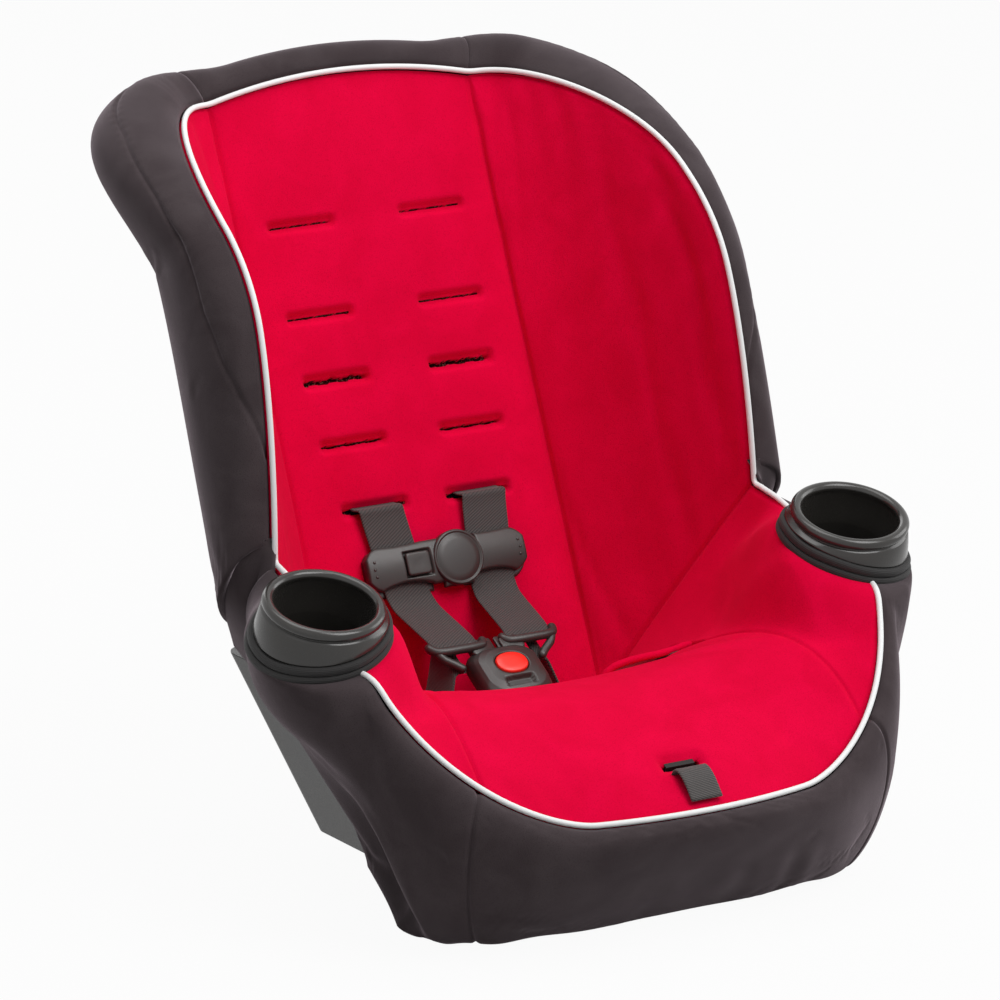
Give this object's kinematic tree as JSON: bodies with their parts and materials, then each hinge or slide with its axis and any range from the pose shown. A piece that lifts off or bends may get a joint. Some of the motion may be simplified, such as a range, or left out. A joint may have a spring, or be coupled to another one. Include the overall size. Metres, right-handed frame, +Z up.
{
  "type": "convertible child car seat",
  "caption": "Convertible child car seat: moulded shell and base, padded sewn cover with piped edges, five-point harness with chest clip and buckle, and lift-out cup holders.",
  "frame": {"origin": "on the ground under the middle of the base", "axes": "+Z up, the seat faces -Y, +X to the right of someone looking at its front"},
  "size_m": [0.5498, 0.5845, 0.5733],
  "materials": {
    "shell_plastic": "semi-gloss moulded dark grey",
    "screw_steel": "plated steel",
    "wing_foam": "moulded energy-absorbing foam",
    "red_cover": "foam-backed brushed knit",
    "dark_cover": "smooth foam-backed knit",
    "white_piping": "covered cord",
    "black_elastic": "gathered elastic",
    "cup_plastic": "gloss moulded",
    "webbing": "woven polyester webbing",
    "harness_plastic": "fine texture",
    "button_plastic": "moulded red"
  },
  "bodies": {
    "seat": {"base": "shell_plastic", "seat_shell": "shell_plastic", "shell_screws": "screw_steel", "left_wing_foam": "wing_foam", "right_wing_foam": "wing_foam", "back_pad": "red_cover", "left_wing_pad": "red_cover", "right_wing_pad": "red_cover", "seat_pad": "red_cover", "left_bolster_pad": "red_cover", "right_bolster_pad": "red_cover", "top_border": "dark_cover", "left_border": "dark_cover", "right_border": "dark_cover", "left_skirt": "dark_cover", "right_skirt": "dark_cover", "front_skirt": "dark_cover", "upper_piping": "white_piping", "lower_piping": "white_piping", "left_cup_band": "black_elastic", "right_cup_band": "black_elastic", "left_shoulder_strap": "webbing", "right_shoulder_strap": "webbing", "left_lap_strap": "webbing", "right_lap_strap": "webbing", "buckle_housing": "harness_plastic", "buckle_spring": "screw_steel", "crotch_strap": "webbing", "crotch_retainer": "screw_steel", "left_strap_tail": "webbing", "right_strap_tail": "webbing", "adjuster_strap": "webbing", "adjuster_housing": "screw_steel", "adjuster_pin": "screw_steel", "adjuster_spring": "screw_steel"},
    "left_cup": {"left_cup": "cup_plastic"},
    "right_cup": {"right_cup": "cup_plastic"},
    "left_tongue": {"left_tongue": "harness_plastic"},
    "right_tongue": {"right_tongue": "harness_plastic"},
    "buckle_button": {"buckle_button": "button_plastic"},
    "clip_left": {"clip_left_half": "harness_plastic"},
    "clip_right": {"clip_right_half": "harness_plastic"},
    "clip_tab": {"clip_push_tab": "harness_plastic"},
    "adjuster_lever": {"adjuster_lever": "screw_steel"},
    "adjuster_tail": {"adjuster_tail": "webbing"},
    "splitter": {"splitter_plate": "screw_steel"}
  },
  "joints": [
    {"name": "left_cup_lift", "type": "slide", "parent": "seat", "child": "left_cup", "axis": [0, -0.3256, 0.9455], "range_m": [0, 0.09]},
    {"name": "right_cup_lift", "type": "slide", "parent": "seat", "child": "right_cup", "axis": [0, -0.3256, 0.9455], "range_m": [0, 0.09]},
    {"name": "left_tongue_release", "type": "slide", "parent": "seat", "child": "left_tongue", "axis": [0, 0.848, 0.5299], "range_m": [0, 0.02], "deforming": ["left_shoulder_strap", "left_lap_strap"]},
    {"name": "right_tongue_release", "type": "slide", "parent": "seat", "child": "right_tongue", "axis": [0, 0.848, 0.5299], "range_m": [0, 0.02], "deforming": ["right_shoulder_strap", "right_lap_strap"]},
    {"name": "buckle_button_press", "type": "slide", "parent": "seat", "child": "buckle_button", "axis": [0, 0.5299, -0.848], "range_m": [0, 0.004], "stiffness_N_per_m": 1000, "springref_m": -0.004, "deforming": ["buckle_spring"]},
    {"name": "chest_clip_slide", "type": "slide", "parent": "seat", "child": "clip_left", "axis": [0, 0.3746, 0.9272], "range_m": [-0.01, 0.02]},
    {"name": "chest_clip_release", "type": "slide", "parent": "clip_left", "child": "clip_right", "axis": [1, 0, 0], "range_m": [0, 0.032]},
    {"name": "clip_push", "type": "slide", "parent": "clip_left", "child": "clip_tab", "axis": [0, 0.9272, -0.3746], "range_m": [0, 0.002], "stiffness_N_per_m": 600, "springref_m": -0.002},
    {"name": "adjuster_lever_press", "type": "hinge", "parent": "seat", "child": "adjuster_lever", "pos_m": [0, -0.23937, 0.10555], "axis": [1, 0, 0], "range_deg": [0, 14], "stiffness_Nm_per_rad": 0.2, "springref_deg": -17.19, "deforming": ["adjuster_spring"]},
    {"name": "adjuster_pull", "type": "slide", "parent": "seat", "child": "adjuster_tail", "axis": [0, -0.5, 0.866], "range_m": [0, 0.035], "deforming": ["adjuster_strap"]},
    {"name": "splitter_slide", "type": "slide", "parent": "seat", "child": "splitter", "axis": [0, -0.3746, -0.9272], "range_m": [0, 0.035], "deforming": ["left_strap_tail", "right_strap_tail", "adjuster_strap"]}
  ],
  "couplings": [
    {"joint": "splitter_slide", "follows": "adjuster_pull", "ratio": 1}
  ]
}
